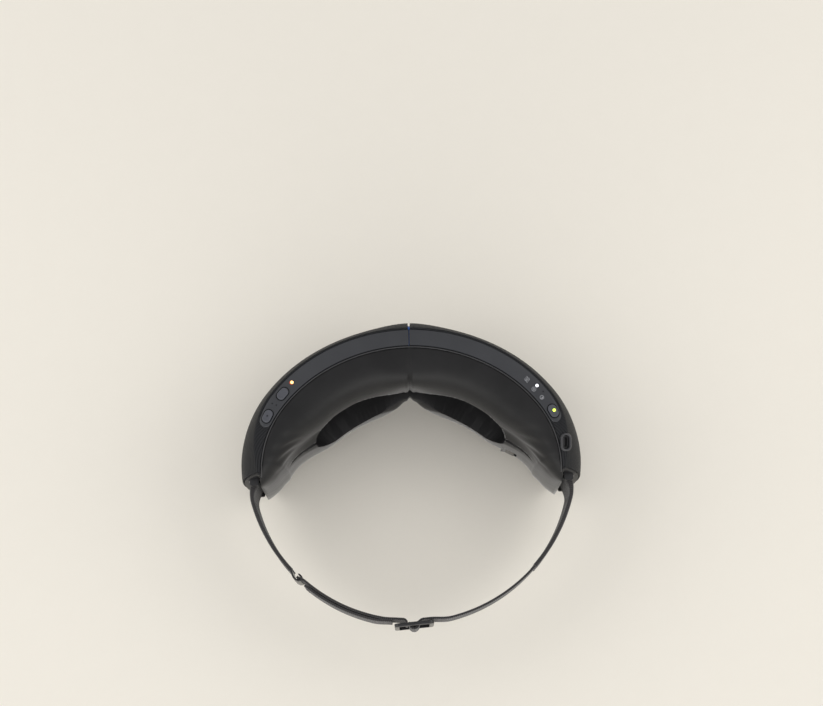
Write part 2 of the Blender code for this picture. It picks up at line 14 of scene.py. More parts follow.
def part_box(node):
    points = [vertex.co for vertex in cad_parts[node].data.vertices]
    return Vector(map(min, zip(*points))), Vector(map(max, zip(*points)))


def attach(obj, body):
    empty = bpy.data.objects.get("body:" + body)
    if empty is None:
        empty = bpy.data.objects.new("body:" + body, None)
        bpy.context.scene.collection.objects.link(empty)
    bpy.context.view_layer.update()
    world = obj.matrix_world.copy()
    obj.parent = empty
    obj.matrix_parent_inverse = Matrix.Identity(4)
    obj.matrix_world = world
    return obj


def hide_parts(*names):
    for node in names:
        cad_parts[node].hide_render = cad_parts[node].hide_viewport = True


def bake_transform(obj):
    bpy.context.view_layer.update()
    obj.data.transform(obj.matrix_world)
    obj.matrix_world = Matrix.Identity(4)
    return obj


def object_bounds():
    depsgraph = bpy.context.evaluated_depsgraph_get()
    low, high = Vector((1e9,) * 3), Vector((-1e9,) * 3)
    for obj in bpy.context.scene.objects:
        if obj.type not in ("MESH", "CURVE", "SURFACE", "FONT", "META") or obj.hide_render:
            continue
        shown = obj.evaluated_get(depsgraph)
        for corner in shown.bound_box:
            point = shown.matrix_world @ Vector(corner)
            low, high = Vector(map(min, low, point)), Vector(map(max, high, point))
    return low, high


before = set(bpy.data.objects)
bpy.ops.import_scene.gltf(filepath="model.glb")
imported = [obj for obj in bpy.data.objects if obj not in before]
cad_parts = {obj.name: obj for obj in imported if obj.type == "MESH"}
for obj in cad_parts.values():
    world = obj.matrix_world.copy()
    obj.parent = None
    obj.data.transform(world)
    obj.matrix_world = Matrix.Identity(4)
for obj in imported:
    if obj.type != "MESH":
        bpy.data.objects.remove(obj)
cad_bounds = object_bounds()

# --- Studio: a cream table, broad soft light, and a camera above and a little behind the mask ----------
# The table is matt and pale, so that it throws light back up into the edges of the pad.
camera_angle, camera_turn = 75.6, -1.1


def shine(name, place, aim, width, height, power, colour=(1.0, 0.98, 0.95)):
    light = bpy.data.lights.new(name, "AREA")
    light.shape, light.size, light.size_y = "RECTANGLE", width, height
    light.energy, light.color = power, colour
    lamp = bpy.data.objects.new(name, light)
    bpy.context.collection.objects.link(lamp)
    lamp.location = place
    lamp.rotation_euler = (Vector(aim) - Vector(place)).to_track_quat("-Z", "Y").to_euler()


lens = bpy.data.cameras.new("camera")
lens.lens, lens.clip_start = 67.06, 0.05
camera = bpy.data.objects.new("camera", lens)
bpy.context.collection.objects.link(camera)
camera.location = Matrix.Rotation(radians(camera_turn), 3, "Z") @ Vector((0.0, -0.1676, 1.0308))
camera.rotation_euler = (radians(90 - camera_angle), 0, radians(camera_turn))
bpy.context.scene.camera = camera
bpy.context.scene.view_settings.view_transform = "Standard"

for name, place, wide, tall, power in (("left_window", (-1.15, 0.1, 0.95), 1.0, 1.0, 3.9),
                                       ("right_window", (1.15, 0.1, 0.95), 1.0, 1.0, 3.9),
                                       ("low_window", (0.0, -1.5, 0.30), 2.4, 0.5, 11.0)):
    shine(name, place, (0, 0.05, 0.03), wide, tall, power)

# the room is a little dimmer overhead than near the table, so a sheen shows at the edges of the dark surfaces
world = bpy.data.worlds.new("studio")
world.use_nodes = True
sky = world.node_tree
height = sky.nodes.new("ShaderNodeSeparateXYZ")
sky.links.new(sky.nodes.new("ShaderNodeTexCoord").outputs["Generated"], height.inputs[0])
ramp = sky.nodes.new("ShaderNodeValToRGB")
ramp.color_ramp.elements[0].position, ramp.color_ramp.elements[0].color = 0.05, (0.93, 0.93, 0.92, 1)
ramp.color_ramp.elements[1].position, ramp.color_ramp.elements[1].color = 0.85, (0.68, 0.67, 0.68, 1)
sky.links.new(height.outputs["Z"], ramp.inputs[0])
sky.links.new(ramp.outputs[0], sky.nodes["Background"].inputs["Color"])
bpy.context.scene.world = world


class Tone:
    """A shader socket that can be used in sums; make adds any other node."""

    def __init__(self, tree, socket=None):
        self.tree, self.socket = tree, socket

    def make(self, kind, settings=None, sockets=None, output=0):
        node = self.tree.nodes.new("ShaderNode" + kind)
        for name, value in (settings or {}).items():
            if name == "stops":
                ramp = node.color_ramp
                while len(ramp.elements) < len(value):
                    ramp.elements.new(0.5)
                for stop, (place, colour) in zip(ramp.elements, value):
                    stop.position, stop.color = place, (*colour, 1.0)
            else:
                setattr(node, name, value)
        for name, value in (sockets or {}).items():
            if isinstance(value, Tone):
                self.tree.links.new(value.socket, node.inputs[name])
            else:
                node.inputs[name].default_value = value
        return Tone(self.tree, node.outputs[output])

    def math(self, operation, *values):
        return self.make("Math", {"operation": operation}, dict(enumerate(values)))

    def __add__(self, other):
        return self.math("ADD", self, other)

    def __mul__(self, other):
        return self.math("MULTIPLY", self, other)

    def __sub__(self, other):
        return self.math("SUBTRACT", self, other)

    __radd__, __rmul__ = __add__, __mul__


def finish(name, roughness=0.5, metallic=0.0, **fixed):
    """A new material: its tree as a Tone and its Principled shader."""
    made = bpy.data.materials.new(name)
    made.use_nodes = True
    tree = made.node_tree
    shader = tree.nodes["Principled BSDF"]
    shader.inputs["Roughness"].default_value = roughness
    shader.inputs["Metallic"].default_value = metallic
    for socket, value in fixed.items():
        shader.inputs[socket.replace("_", " ")].default_value = value
    return made, Tone(tree), shader


def feed(tone, shader, name):
    tone.tree.links.new(tone.socket, shader.inputs[name])


def speckle(start, scale, detail=4.0, position=None):
    """Fine noise over the piece, in metres."""
    where = position or start.make("TexCoord", output="Object")
    return start.make("TexNoise", {"noise_dimensions": "3D"},
                      {"Vector": where, "Scale": scale, "Detail": detail, "Roughness": 0.55})


def colours(start, factor, dark, light):
    return start.make("ValToRGB", {"stops": ((0.25, dark), (0.75, light))}, {"Fac": factor})


def rough_bump(start, height, strength, distance):
    return start.make("Bump", {}, {"Height": height, "Strength": strength, "Distance": distance})


def moulded(name, dark, light, roughness, grain=2500.0, bump=0.12, metallic=0.0, **fixed):
    """Plastic, metal or film with a fine grain, a little mottling and uneven gloss."""
    made, start, shader = finish(name, roughness, metallic, **fixed)
    cloud, fine = speckle(start, 60.0), speckle(start, grain, 2.0)
    feed(colours(start, cloud * 0.6 + fine * 0.4, dark, light), shader, "Base Color")
    feed((cloud - 0.5) * 0.12 + roughness, shader, "Roughness")
    feed(rough_bump(start, fine, bump, 0.0002), shader, "Normal")
    return made


floor_mesh = bpy.data.meshes.new("table_top")
floor_mesh.from_pydata([(-6, -6, 0), (6, -6, 0), (6, 6, 0), (-6, 6, 0)], [], [(0, 1, 2, 3)])
floor = bpy.data.objects.new("table_top", floor_mesh)
bpy.context.collection.objects.link(floor)
floor.location.z = -0.0003
table_skin = moulded("cream_table", (0.85, 0.815, 0.73), (0.865, 0.83, 0.745), 0.85, 400.0, 0.02)
floor_mesh.materials.append(table_skin)

# --- Mesh covers: black perforated fabric bonded over the visor's crown, one to each half ---------------
# The crown leans back more towards the temples, and past the end of the soft band the fabric wraps over
# the edge as far as the pad.
half_width = cad_bounds[1][0]
top_z = cad_bounds[1][2]
front_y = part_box("left_mesh_cover")[1][1]
plan_depth, plan_power = 0.088, 1.95
plan_centre = front_y - plan_depth
wall_end = 96.0
band_end = 73.5


def smooth(value):
    value = min(max(value, 0.0), 1.0)
    return value * value * (3 - 2 * value)


def plan(angle):
    """The visor's outline seen from above at a signed angle from the front, with its outward normal."""
    s, c = sin(radians(abs(angle))), cos(radians(angle))
    x = half_width * s ** (2 / plan_power)
    back = plan_depth * abs(c) ** (2 / plan_power) * (1 if c > 0 else -1)
    nx = (x / half_width) ** (plan_power - 1) / half_width
    ny = abs(back / plan_depth) ** (plan_power - 1) / plan_depth * (1 if c > 0 else -1)
    size = hypot(nx, ny)
    side = 1 if angle >= 0 else -1
    return side * x, plan_centre + back, side * nx / size, ny / size


def spot(angle, depth, z):
    x, y, nx, ny = plan(angle)
    return Vector((x - nx * depth, y - ny * depth, z))


def bottom_at(x):
    rise = 0.0035 * max(1 - (x / 0.062) ** 2, 0.0)
    return rise + 0.0375 * exp(-((x / 0.022) ** 2)) * smooth((0.062 - x) / 0.02)


def heights(angle):
    x, turn = min(abs(plan(angle)[0]), 0.092), abs(angle)
    low = bottom_at(x) + 0.008 * max((turn - 66) / 30, 0.0) ** 2
    return low, top_z - 0.0045 * (x / 0.09) ** 2 - 0.012 * max((turn - 60) / 36, 0.0) ** 2


def back_plane(angle):
    return 0.0195 - 0.005 * (abs(angle) / wall_end) ** 4


def lean_at(angle, z):
    """How far the crown leans back at a height."""
    low, high = heights(angle)
    ends = smooth((abs(angle) - 60) / 38)
    s = (z - (low + high) / 2) / ((high - low) / 2)
    return (0.0076 + 0.0052 * ends) * min(abs(s), 1.0) ** 3


def spaced(start, end, count):
    return [start + (end - start) * i / count for i in range(count + 1)]


def loft(name, rings, skin, closed=True, caps=True, uv=None, loop=False):
    """A mesh through rings of equal length; uv gives each ring point's place on the cloth in metres."""
    count = len(rings[0])
    faces = []
    for r in range(len(rings) - 1):
        for i in range(count if closed else count - 1):
            j = (i + 1) % count
            faces.append((r * count + i, r * count + j, (r + 1) * count + j, (r + 1) * count + i))
    if loop:
        last = (len(rings) - 1) * count
        faces += [(last + i, last + (i + 1) % count, (i + 1) % count, i) for i in range(count)]
    elif caps:
        faces.append(tuple(range(count))[::-1])
        faces.append(tuple((len(rings) - 1) * count + i for i in range(count)))
    mesh = bpy.data.meshes.new(name)
    mesh.from_pydata([p for ring in rings for p in ring], [], faces)
    if uv:
        layer = mesh.uv_layers.new(name="cloth")
        for face in mesh.polygons:
            for corner, vertex in zip(face.loop_indices, face.vertices):
                layer.data[corner].uv = uv[vertex]
    mesh.validate()
    body = bmesh.new()
    body.from_mesh(mesh)
    bmesh.ops.recalc_face_normals(body, faces=body.faces)
    body.to_mesh(mesh)
    body.free()
    mesh.shade_smooth()
    mesh.set_sharp_from_angle(angle=radians(38))
    mesh.materials.append(skin)
    piece = bpy.data.objects.new(name, mesh)
    bpy.context.collection.objects.link(piece)
    return piece


def perforated():
    """Black warp-knit mesh with rows of small holes set corner to corner."""
    made, start, shader = finish("perforated_mesh", 0.62, Specular_IOR_Level=0.2)
    place = start.make("UVMap", {"uv_map": "cloth"})
    parts = start.make("SeparateXYZ", {}, {"Vector": place})
    along = Tone(start.tree, parts.socket.node.outputs["X"])
    up = Tone(start.tree, parts.socket.node.outputs["Y"])
    pitch = 2 * pi / 0.0017
    rows = (along * pitch).math("COSINE", along * pitch) * (up * pitch).math("COSINE", up * pitch)
    thread = speckle(start, 1800.0, 3.0)
    hole = start.make("MapRange", {"interpolation_type": "SMOOTHSTEP"},
                      {"Value": rows, "From Min": 0.30, "From Max": 0.62})
    base = start.make("MapRange", {}, {"Value": hole, "To Min": 1.0, "To Max": 0.12})
    tint = colours(start, thread * 0.5 + base * 0.5, (0.0008, 0.0008, 0.001), (0.017, 0.018, 0.020))
    feed(tint, shader, "Base Color")
    feed(hole * 0.3 + 0.52, shader, "Roughness")
    feed(rough_bump(start, thread * 0.25 - hole, 0.8, 0.0006), shader, "Normal")
    return made


mesh_fabric = perforated()


def skin_path(angle, layer):
    """The fabric's section: up the crown, round the upper edge and under the band's side."""
    low, high = heights(angle)
    wrap = smooth((abs(angle) - band_end + 6.5) / 5)
    reach = 0.0088 + (back_plane(angle) - 0.0091) * wrap
    crown = []
    for i in range(37):
        s = sin(pi * (i / 36 - 0.5))
        z = (low + high) / 2 + (high - low) / 2 * s
        crown.append((lean_at(angle, z), z))
    reach = max(reach, crown[-1][0] + 0.0012)
    sunk = 0.0005
    top = [(crown[-1][0] + (reach - crown[-1][0]) * i / 6, high - sunk) for i in range(1, 7)]
    bottom = [(d, low + sunk) for d, z in top][::-1]
    path = bottom + crown + top
    for _ in range(3):
        path = [path[0]] + [((a[0] + 2 * b[0] + c[0]) / 4, (a[1] + 2 * b[1] + c[1]) / 4)
                            for a, b, c in zip(path, path[1:], path[2:])] + [path[-1]]
    if not layer:
        return path
    moved = []
    for i, (d, z) in enumerate(path):
        a, b = path[max(i - 1, 0)], path[min(i + 1, len(path) - 1)]
        run, rise = b[0] - a[0], b[1] - a[1]
        size = hypot(run, rise)
        moved.append((d + layer * rise / size, z - layer * run / size))
    return moved


for side, word in ((-1, "left"), (1, "right")):
    start = 0.39
    rings, places = [], []
    along = 0.0
    last = None
    for angle in spaced(start, wall_end + 0.4, 110):
        outer, inner = skin_path(angle, 0.0), skin_path(angle, 0.0011)
        ring = [spot(side * angle, d, z) for d, z in outer + inner[::-1]]
        middle = spot(side * angle, 0, 0)
        along += (middle - last).length if last else 0.0
        last = middle
        up = 0.0
        spans = []
        for i, (d, z) in enumerate(outer):
            up += hypot(d - outer[i - 1][0], z - outer[i - 1][1]) if i else 0.0
            spans.append((side * along, up))
        places += spans + spans[::-1]
        rings.append(ring)
    cover = loft(word + "_mesh", rings, mesh_fabric, uv=places)
    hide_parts(word + "_mesh_cover")
    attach(cover, word + "_half")

# --- Soft-touch bands: a satin rubber-painted strip round the top and bottom of each half -------------
# Each is moulded with eased edges and a round end, and lies in a shallow seat between fabric and pad. The
# top bands are pierced for the keys and for two pin holes, the vents of the pump and the microphone.
soft_touch = moulded("soft_touch_band", (0.022, 0.024, 0.028), (0.033, 0.035, 0.040), 0.44, 3500.0, 0.10)
band_front, band_ease, band_lead = 0.0088, 0.0009, 0.0052
key_angle, mode_angle, key_depth = 55.75, 68.0, 0.0136


def in_frame(angle, depth, z):
    """A frame on the visor: X round it, Y outwards, Z up."""
    x, y, nx, ny = plan(angle)
    out, up = Vector((nx, ny, 0)), Vector((0, 0, 1))
    place = Matrix((out.cross(up), out, up)).transposed().to_4x4()
    place.translation = spot(angle, depth, z)
    return place


def on_band(angle, depth=key_depth, lift=0.0):
    return in_frame(angle, depth, heights(angle)[1] + lift)


def rounded(length, width, radius, steps=8):
    """A rectangle with round corners, centred."""
    points = []
    for k, (sx, sy) in enumerate(((1, 1), (-1, 1), (-1, -1), (1, -1))):
        for i in range(steps + 1):
            turn = pi / 2 * (k + i / steps)
            points.append((sx * (length / 2 - radius) + radius * cos(turn),
                           sy * (width / 2 - radius) + radius * sin(turn)))
    return points


def stacked(name, place, levels, skin):
    """A piece through outlines at rising heights; levels are pairs of a height and an outline."""
    rings = [[place @ Vector((x, y, z)) for x, y in outline] for z, outline in levels]
    return loft(name, rings, skin)


def carve(piece, cutters):
    """Takes cutters out of a piece and removes them."""
    for cutter in cutters:
        taken = piece.modifiers.new("carve", "BOOLEAN")
        taken.operation, taken.solver, taken.object = "DIFFERENCE", "EXACT", cutter
    bpy.context.view_layer.update()
    shape = bpy.data.meshes.new_from_object(piece.evaluated_get(bpy.context.evaluated_depsgraph_get()))
    piece.modifiers.clear()
    piece.data = shape
    shape.set_sharp_from_angle(angle=radians(38))
    for cutter in cutters:
        bpy.data.objects.remove(cutter)


def band_rings(side, upper):
    rings = []
    for angle in spaced(0.16, band_end, 100):
        low, high = heights(angle)
        front, back = max(band_front, lean_at(angle, high) + 0.0012), back_plane(angle) - 0.0002
        left = (band_end - angle) * radians(1) * 0.1
        if left < band_lead:
            keep = sqrt(max(band_lead ** 2 - (band_lead - left) ** 2, 1e-8)) / band_lead
            middle = (front + back) / 2
            front, back = middle + (front - middle) * keep, middle + (back - middle) * keep
        width = back - front
        ease = min(band_ease, width * 0.3)
        shape = [(front, -0.0016), (front, -ease)]
        shape += [(front + ease * (1 - cos(a)), -ease * (1 - sin(a))) for a in (0.5, 1.0)]
        shape += [(front + ease + (width - 2 * ease) * i / 8, 0.00022 * sin(pi * i / 8)) for i in range(9)]
        shape += [(back - ease * (1 - cos(a)), -ease * (1 - sin(a))) for a in (1.0, 0.5)]
        shape += [(back, -ease), (back, -0.0016)]
        if upper:
            rings.append([spot(side * angle, d, high + z) for d, z in shape])
        else:
            rings.append([spot(side * angle, d, max(low - z, 0.0)) for d, z in shape])
    return rings


for side, word in ((-1, "left"), (1, "right")):
    for place in ("top", "bottom"):
        upper = place == "top"
        band = loft(f"{word}_{place}_strip", band_rings(side, upper), soft_touch)
        if upper:
            holes = []
            for angle in (key_angle, mode_angle) if side < 0 else (mode_angle,):
                outline = rounded(0.0095, 0.0065, 0.0032)
                holes.append(stacked("key_hole", on_band(side * angle), ((-0.004, outline), (0.002, outline)),
                                     soft_touch))
            for angle, depth in ((61.9, 0.0121), (61.5, 0.0148)) if side < 0 else ((58.2, 0.0118),):
                outline = rounded(0.0008, 0.0008, 0.00038, 3)
                pin = on_band(side * angle, depth)
                holes.append(stacked("pin_hole", pin, ((-0.0012, outline), (0.001, outline)), soft_touch))
            carve(band, holes)
        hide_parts(f"{word}_{place}_band")
        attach(band, word + "_half")

# --- Keys: three sprung keys in the top bands, power and mode on the left, select on the right ----------
# Each is a soft-touch cap with a dished top; the mode key has a small dimple to find it by touch.
key_rubber = moulded("key_rubber", (0.050, 0.053, 0.064), (0.070, 0.074, 0.088), 0.42, 3200.0, 0.12)
key_length, key_width = 0.0084, 0.0054


def key_cap(name, angle, body):
    levels = []
    for inset, z in ((0, -0.0037), (0, 0.0008), (0.00008, 0.00105), (0.00025, 0.00128), (0.0005, 0.0014),
                     (0.0009, 0.00138), (0.0015, 0.00124), (0.0021, 0.00114), (0.0025, 0.0011)):
        outline = rounded(key_length - 2 * inset, key_width - 2 * inset, key_width / 2 - inset - 0.00005)
        levels.append((z, outline))
    cap = stacked(name + "_cap", on_band(angle), levels, key_rubber)
    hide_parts(name)
    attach(cap, body)
    return cap


def glow(name, core, strength, rim):
    """A frosted lens lit from behind, a little uneven; also a faint painted glow on the band round a lens."""
    made, start, shader = finish(name, 0.35)
    shader.inputs["Emission Strength"].default_value = strength
    cloud = speckle(start, 900.0)
    feed(colours(start, cloud, rim, core), shader, "Base Color")
    feed(colours(start, cloud * 0.3 + 0.55, rim, core), shader, "Emission Color")
    return made


def dome(name, place, radius, rise, skin, body, replaced=None):
    levels = [(-0.0006, rounded(2 * radius, 2 * radius, radius * 0.999, 5))]
    for i in range(6):
        turn = pi / 2 * i / 6
        size = radius * cos(turn)
        levels.append((rise * sin(turn), rounded(2 * size, 2 * size, size * 0.999, 5)))
    piece = stacked(name, place, levels, skin)
    if replaced:
        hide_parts(replaced)
    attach(piece, body)
    return piece


key_cap("power_key", -key_angle, "power_key")
key_cap("select_key", mode_angle, "select_key")
mode_cap = key_cap("mode_key", -mode_angle, "mode_key")
dimple = rounded(0.0011, 0.0011, 0.0005, 4)
dimple_place = on_band(-mode_angle)
carve(mode_cap, [stacked("dimple", dimple_place, ((0.0002, dimple), (0.002, dimple)), key_rubber)])

# --- Lights and signs: lit lenses on the bands, and printed signs for what the mask does -----------------
# An amber light beside the power key, a white one among the signs and a green one in the select key. The
# signs are plain: waves for vibration, a ring for air and a ring with a half disc for heat.
amber = glow("amber_lens", (1.0, 0.62, 0.20), 3.2, (1.0, 0.42, 0.08))
# painted glow: a faint amber emission on a disc round the amber light, standing for its light spilling onto
# the band
painted_glow = glow("amber_painted_glow", (0.5, 0.07, 0.01), 0.12, (0.4, 0.05, 0.01))
white_lens = glow("white_lens", (0.95, 0.97, 1.0), 1.6, (0.8, 0.85, 1.0))
green_lens = glow("green_lens", (0.75, 1.0, 0.10), 1.7, (0.55, 0.85, 0.05))
dome("amber_light", on_band(-49.5, 0.0129), 0.00105, 0.0006, amber, "left_half", "power_light")
# the glowing disc round the amber light is painted glow, not a part of the mask
dome("amber_painted_glow_disc", on_band(-49.5, 0.0129), 0.0017, 0.0003, painted_glow, "left_half")
dome("white_light", on_band(54.5, 0.0122), 0.00105, 0.0005, white_lens, "right_half", "status_light")
dome("select_light", on_band(mode_angle, key_depth - 0.0006, 0.0011), 0.001, 0.0005, green_lens, "select_key")
print_grey = moulded("sign_print", (0.30, 0.31, 0.33), (0.42, 0.43, 0.45), 0.6, 2500.0, 0.05)
sign_lift = 0.00030


def stroke(name, place, path, width, loop=False):
    """A printed line: a thin flat bead along a path on the band."""
    rings = []
    count = len(path)
    for i, (x, y) in enumerate(path):
        ahead, behind = path[(i + 1) % count], path[i - 1]
        if not loop and i == 0:
            behind = (x, y)
        if not loop and i == count - 1:
            ahead = (x, y)
        run = Vector((ahead[0] - behind[0], ahead[1] - behind[1])).normalized()
        across = Vector((-run.y, run.x)) * width / 2
        rings.append([place @ Vector((x + across.x * s, y + across.y * s, z))
                      for s, z in ((-1, -0.0003), (1, -0.0003), (0.7, 0.00004), (-0.7, 0.00004))])
    sign = loft(name, rings, print_grey, loop=loop)
    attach(sign, "right_half")


def arc(radius, start, end, count, x=0.0, y=0.0):
    return [(x + radius * cos(turn), y + radius * sin(turn)) for turn in spaced(start, end, count)]


waves = on_band(49.75, 0.0138, sign_lift)
for i in range(3):
    line = [(0.00144 * (t - 1), 0.0011 * (i - 1) + 0.00035 * sin(2 * pi * t)) for t in spaced(0, 2, 24)]
    stroke(f"wave_sign_{i}", waves, line, 0.00032)
air_place, heat_place = on_band(54.75, 0.0152, sign_lift), on_band(59.9, 0.0148, sign_lift)
for name, place, radius, count, width in (("air_sign", air_place, 0.0013, 23, 0.00034),
                                          ("air_sign_inner", air_place, 0.0005, 15, 0.0003),
                                          ("heat_sign", heat_place, 0.0012, 23, 0.00034)):
    stroke(name, place, arc(radius, 0, 2 * pi * count / (count + 1), count), width, loop=True)
stroke("heat_sign_half", heat_place, arc(0.0005, -pi / 2, pi / 2, 10), 0.0006)

# --- Fold strip: a blue elastic strip that closes the slit between the halves ---------------------------
# It follows the crown a little under the fabric and is glued to both shells.
blue_rubber = moulded("blue_elastic", (0.015, 0.13, 0.62), (0.03, 0.20, 0.80), 0.5, 1800.0, 0.2)
strip_low, strip_high = heights(0.4)
strip_line = skin_path(0.4, 0.0019)[3:-3:2]
strip_line += [(0.0100, strip_high - 0.0028), (0.0185, strip_high - 0.0030),
               (0.0185, strip_low + 0.004), (0.0100, strip_low + 0.003)]
strip_rings = [[Vector((across, front_y - d, z)) for d, z in strip_line]
               for across in spaced(-0.00078, 0.00078, 6)]
strip = loft("fold_strip", strip_rings, blue_rubber)
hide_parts("hinge_gusset")
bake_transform(strip)

# --- Face pad: one soft cushion of foam under thin black leather, across both halves -------------------
# It is moulded with a waisted pocket over the eyes, creases in the middle where the mask folds, and is
# fullest over the cheeks. The leather is pulled over the ends, so it wrinkles at the upper corners.
pad_brow, pad_cheek, pad_temple = 0.0435, 0.050, 0.028
pocket_floor, pocket_wall = 0.0335, 0.0022

# the sensor's window: its face, its middle and a frame on it, so that the leather dips under it
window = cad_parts["sensor_window"].data
faces = [p for p in window.polygons if p.normal.y < -0.3]
sensor_out = sum((p.normal * p.area for p in faces), Vector()).normalized()
along = Vector((0, 0, 1)).cross(sensor_out).normalized()
sensor_place = Matrix((along, sensor_out.cross(along), sensor_out)).transposed().to_4x4()
sensor_place.translation = sum((p.center * p.area for p in faces), Vector()) / sum(p.area for p in faces)
window_half, window_sunk, edge_run = (0.0051, 0.0078), 0.0004, 0.0006


def pocket_outline(x):
    """The middle height of the eye pocket and half its height at a place across the face."""
    away = abs(x)
    half = 0.0036 + 0.0118 * smooth((away - 0.002) / 0.036)
    half *= sqrt(max(1 - (max(away - 0.045, 0.0) / 0.0160) ** 2, 0.0))
    return 0.0600 - 0.0085 * smooth(away / 0.044), half


def pocket(x, z):
    """How far inside the eye pocket a place on the face side is, from 0 to 1."""
    middle, half = pocket_outline(x)
    return smooth((half - abs(z - middle) + pocket_wall / 2) / pocket_wall)


def pad_low(angle):
    return heights(angle)[0] - 0.7 * 0.008 * max((abs(angle) - 66) / 30, 0.0) ** 2


def pad_depth(angle, z):
    low, high = pad_low(angle), heights(angle)[1]
    lobe = pad_brow + (pad_cheek - pad_brow) * smooth((0.064 - z) / 0.02)
    reach = lobe - (lobe - pad_temple) * smooth((abs(angle) - 46) / 58)
    s = min(abs(z - (low + high) / 2) / ((high - low) / 2), 1.0)
    start = back_plane(angle) + 0.002
    return start + (reach - start) * (1 - s ** 3.8) ** 0.52


def pad_detail(angle, z):
    """The pad's depth with its pocket, creases and wrinkles."""
    depth = pad_depth(angle, z)
    x = plan(angle)[0] - plan(angle)[2] * depth
    depth -= 0.0014 * exp(-abs(x / 0.0075) ** 1.6) * smooth((depth - 0.024) / 0.012)
    depth -= max(depth - pocket_floor + 0.0022, 0.0) * pocket(x, z)
    fold = smooth((z - 0.032) / 0.004)
    depth -= fold * (0.0008 * exp(-((x / 0.0009) ** 2)) - 0.0005 * exp(-(((abs(x) - 0.0022) / 0.0011) ** 2)))
    if 50 < angle < 90 and z < 0.05:
        p = sensor_place.inverted() @ spot(angle, depth, z)
        cover = smooth((window_half[0] - abs(p.x)) / edge_run) * smooth((window_half[1] - abs(p.y)) / edge_run)
        if abs(p.z) < 0.006:
            facing = sensor_out.x * plan(angle)[2] + sensor_out.y * plan(angle)[3]
            depth += cover * (p.z + window_sunk) / facing
    corner = smooth((abs(x) - 0.066) / 0.014) * smooth((z - 0.060) / 0.014) * smooth((0.0915 - z) / 0.006)
    run = (abs(x) - 0.07) * 0.62 + (0.09 - z) * 0.80
    ripple = sin(2 * pi * (run + 0.002 * noise(Vector((x * 60, z * 60, 0.0)))) / 0.0058)
    return depth + corner * 0.0003 * ripple


def pad_ring(angle, steps=150):
    low, high = pad_low(angle), heights(angle)[1]
    plane = back_plane(angle) + 0.0006
    points = [(plane, low + 0.001)]
    for i in range(steps + 1):
        z = (low + high) / 2 + (high - low) / 2 * sin(pi / 2 * (2 * i / steps - 1))
        points.append((pad_detail(angle, z), z))
    points.append((plane, high - 0.001))
    return points


def leather():
    """Thin soft leather: fine pebble grain, faint wrinkles across the stretch, a sheen at its edges."""
    made, start, shader = finish("pad_leather", 0.5, Sheen_Weight=1.0, Sheen_Roughness=0.27,
                                 Specular_IOR_Level=0.22)
    place = start.make("TexCoord", output="Object")
    grain = start.make("TexVoronoi", {"feature": "SMOOTH_F1"}, {"Vector": place, "Scale": 1500.0})
    cloud = speckle(start, 45.0, 5.0)
    pulled = start.make("Mapping", {}, {"Vector": place, "Scale": (55.0, 20.0, 95.0),
                                        "Rotation": (0.0, 0.35, 0.0)})
    wrinkle = start.make("TexNoise", {}, {"Vector": pulled, "Scale": 1.0, "Detail": 6.0, "Distortion": 1.2})
    feed(colours(start, cloud, (0.0085, 0.0085, 0.0090), (0.0150, 0.0150, 0.0155)), shader, "Base Color")
    feed(cloud * 0.14 + grain * 0.10 + 0.36, shader, "Roughness")
    feed(rough_bump(start, wrinkle * 0.7 + grain * 0.10, 0.22, 0.001), shader, "Normal")
    return made


pad_skin = leather()
pad_end, pad_tuck = 102.4, 10.0
rings = []
for angle in spaced(-pad_end, pad_end, 400):
    ring = pad_ring(angle)
    plane, closeness = ring[0][0], (pad_end - abs(angle)) / pad_tuck
    if closeness < 1:
        keep = max(1 - (1 - closeness) ** 2, 0.02) ** 0.5
        middle = (ring[0][1] + ring[-1][1]) / 2
        plane -= 0.0016 * smooth(2 - 2 * closeness)
        shrink = 0.70 + 0.30 * keep
        ring = [(plane + (d - ring[0][0]) * keep, middle + (z - middle) * shrink) for d, z in ring]
    rings.append([spot(angle, d, z) for d, z in ring])
pad = loft("face_pad", rings, pad_skin)
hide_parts("left_face_pad", "right_face_pad")

# --- Edge piping: a thin cord of leather where the pad meets the visor ----------------------------------
# It is sewn into the pad's seam, and gives way a little towards the pad beside each strap slot.
piping_skin = moulded("piping_leather", (0.030, 0.030, 0.032), (0.048, 0.048, 0.050), 0.34, 1500.0, 0.12)


def tube(name, path, radius, skin, loop=False, count=10):
    """A round bead along a path."""
    rings = []
    last = None
    total = len(path)
    for i, point in enumerate(path):
        ahead = path[(i + 1) % total] if loop or i < total - 1 else point
        behind = path[i - 1] if loop or i else point
        run = (ahead - behind).normalized()
        side_on = (last - run * last.dot(run)).normalized() if last else run.orthogonal().normalized()
        last = side_on
        other = run.cross(side_on)
        rings.append([point + (side_on * cos(2 * pi * k / count) + other * sin(2 * pi * k / count)) * radius
                      for k in range(count)])
    return loft(name, rings, skin, loop=loop)


piping_end, piping_radius = 98.6, 0.00036
path = [spot(a, back_plane(a) + 0.0006, heights(a)[1] - 0.0002) for a in spaced(-piping_end, piping_end, 220)]
low, high = pad_low(piping_end), heights(piping_end)[1]


def piping_end_point(side, z):
    beside = smooth((z - 0.0225) / 0.004) * smooth((0.0655 - z) / 0.004)
    return spot(side * piping_end, back_plane(piping_end) + 0.0003 + 0.0011 * beside, z)


path += [piping_end_point(1, z) for z in spaced(high - 0.0015, low + 0.0015, 60)]
path += [spot(a, back_plane(a) + 0.0006, pad_low(a) + piping_radius)
         for a in spaced(piping_end, -piping_end, 220)]
path += [piping_end_point(-1, z) for z in spaced(low + 0.0015, high - 0.0015, 60)]
piping = tube("edge_piping", path, piping_radius, piping_skin, loop=True)
for crossing, skin_slot in ((pad, "pad"), (piping, "pad")):
    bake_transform(crossing)

